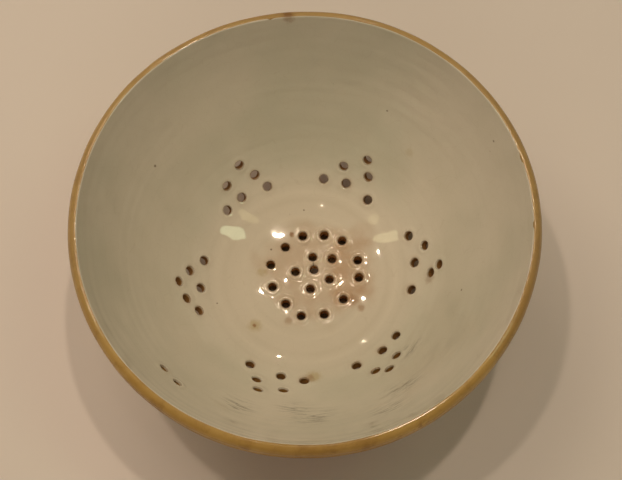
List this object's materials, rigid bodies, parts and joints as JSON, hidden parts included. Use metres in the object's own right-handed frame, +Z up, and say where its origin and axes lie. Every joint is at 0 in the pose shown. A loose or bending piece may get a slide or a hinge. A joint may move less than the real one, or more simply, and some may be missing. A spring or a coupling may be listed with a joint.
{
  "type": "ceramic colander",
  "caption": "Thrown yellow-clay strainer bowl with a rolled lip, white-slipped inside, on a low foot ring, with drain holes punched in the floor and lower wall and hanging holes under the lip.",
  "frame": {"origin": "on the table, on the bowl's axis, under the foot ring", "axes": "+Z up along the bowl's axis, -Y towards a person who looks into the bowl from the front, +X to that person's right; the hanging holes are under the lip between -X and -Y"},
  "size_m": [0.28, 0.28, 0.1328],
  "materials": {
    "yellow_glazed_clay": "clear lead glaze over yellow-firing clay, glossy, with iron specks",
    "bare_clay": "wiped, dry, unglazed clay on the resting face",
    "white_slip": "white slip under clear glaze, glossy, grey-green cream, with tea-brown stains"
  },
  "bodies": {
    "root": {"bowl_body": "yellow_glazed_clay", "foot_ring": "bare_clay", "slip_lining": "white_slip"}
  },
  "joints": []
}
